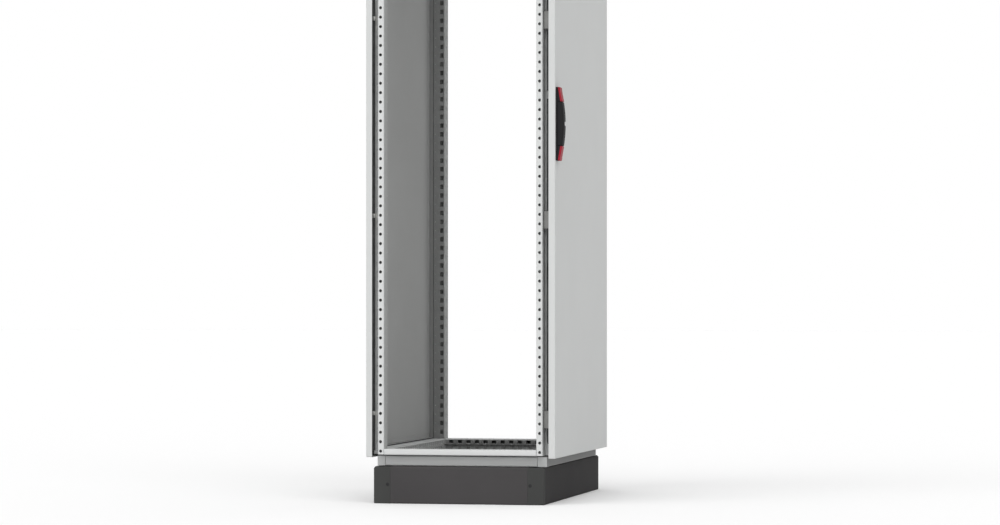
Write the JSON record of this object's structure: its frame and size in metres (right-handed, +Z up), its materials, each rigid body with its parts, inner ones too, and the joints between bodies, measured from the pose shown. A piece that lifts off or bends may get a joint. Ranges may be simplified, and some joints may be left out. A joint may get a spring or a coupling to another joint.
{
  "type": "switchgear cabinet",
  "caption": "Floor-standing bayable switchgear cabinet with open ends, hinged locking door, screwed rear panel and plinth.",
  "frame": {"origin": "on the floor, under the middle of the cabinet's overall box, handle included", "axes": "+Z up, -Y out through the door, X along the door's width; the open ends face -X and +X"},
  "size_m": [0.7976, 0.5336, 1.9],
  "materials": {
    "powder_coat": "fine textured powder coat, light grey",
    "plinth": "satin dark grey",
    "plinth_corner": "satin dark grey",
    "seal": "foamed seal, matt",
    "zinc": "zinc plated",
    "handle_black": "fine spark-eroded black",
    "handle_red": "satin dark red",
    "lock_chrome": "satin chrome",
    "rod_black": "black passivated"
  },
  "bodies": {
    "frame": {"base_corner_front_left": "powder_coat", "base_corner_front_right": "powder_coat", "base_corner_rear_left": "powder_coat", "base_corner_rear_right": "powder_coat", "base_rail_front": "powder_coat", "base_rail_left": "powder_coat", "base_rail_rear": "powder_coat", "base_rail_right": "powder_coat", "bottom_rail_front": "powder_coat", "bottom_rail_left": "powder_coat", "bottom_rail_rear": "powder_coat", "bottom_rail_right": "powder_coat", "hinge_frame_leaf_1": "zinc", "hinge_frame_leaf_2": "zinc", "hinge_frame_leaf_3": "zinc", "hinge_frame_leaf_4": "zinc", "hinge_pin_1": "zinc", "hinge_pin_2": "zinc", "hinge_pin_3": "zinc", "hinge_pin_4": "zinc", "plinth_corner_front_left": "plinth_corner", "plinth_corner_front_right": "plinth_corner", "plinth_corner_rear_left": "plinth_corner", "plinth_corner_rear_right": "plinth_corner", "plinth_front_cover": "plinth", "plinth_left_cover": "plinth", "plinth_rear_cover": "plinth", "plinth_right_cover": "plinth", "post_front_left": "powder_coat", "post_front_right": "powder_coat", "post_rear_left": "powder_coat", "post_rear_right": "powder_coat", "rear_panel": "powder_coat", "rear_panel_seal": "seal", "rod_keeper_1": "zinc", "rod_keeper_2": "zinc", "rod_keeper_3": "zinc", "rod_keeper_4": "zinc", "roof_panel": "powder_coat", "top_rail_front": "powder_coat", "top_rail_left": "powder_coat", "top_rail_rear": "powder_coat", "top_rail_right": "powder_coat"},
    "door": {"door_panel": "powder_coat", "door_seal": "seal", "handle_base": "handle_black", "rod_guide_upper": "handle_black", "rod_guide_lower": "handle_black", "hinge_door_leaf_1": "zinc", "hinge_door_leaf_2": "zinc", "hinge_door_leaf_3": "zinc", "hinge_door_leaf_4": "zinc"},
    "handle_hub": {"handle_hub_cap": "handle_red", "lock_spindle": "lock_chrome"},
    "handle_lever": {"handle_grip": "handle_black", "handle_tip_cap": "handle_red"},
    "key_barrel": {"lock_cylinder": "lock_chrome"},
    "rod_upper": {"lock_rod_upper": "rod_black"},
    "rod_lower": {"lock_rod_lower": "rod_black"}
  },
  "joints": [
    {"name": "door_hinge", "type": "hinge", "parent": "frame", "child": "door", "pos_m": [0.38, -0.22495, 1], "axis": [0, 0, 1], "range_deg": [0, 130]},
    {"name": "handle_turn", "type": "hinge", "parent": "door", "child": "handle_hub", "pos_m": [-0.3635, -0.24425, 1.078], "axis": [0, -1, 0], "range_deg": [0, 90]},
    {"name": "handle_lift", "type": "hinge", "parent": "handle_hub", "child": "handle_lever", "pos_m": [-0.3635, -0.25809, 1.0562], "axis": [-1, 0, 0], "range_deg": [0, 25]},
    {"name": "key_turn", "type": "hinge", "parent": "handle_lever", "child": "key_barrel", "pos_m": [-0.3635, -0.26475, 1.0005], "axis": [0, -1, 0], "range_deg": [0, 90]},
    {"name": "rod_upper_slide", "type": "slide", "parent": "door", "child": "rod_upper", "axis": [0, 0, -1], "range_m": [0, 0.01]},
    {"name": "rod_lower_slide", "type": "slide", "parent": "door", "child": "rod_lower", "axis": [0, 0, 1], "range_m": [0, 0.01]}
  ],
  "couplings": [
    {"joint": "rod_upper_slide", "follows": "handle_turn", "m_per_rad": 0.00636},
    {"joint": "rod_lower_slide", "follows": "handle_turn", "m_per_rad": 0.00636}
  ]
}
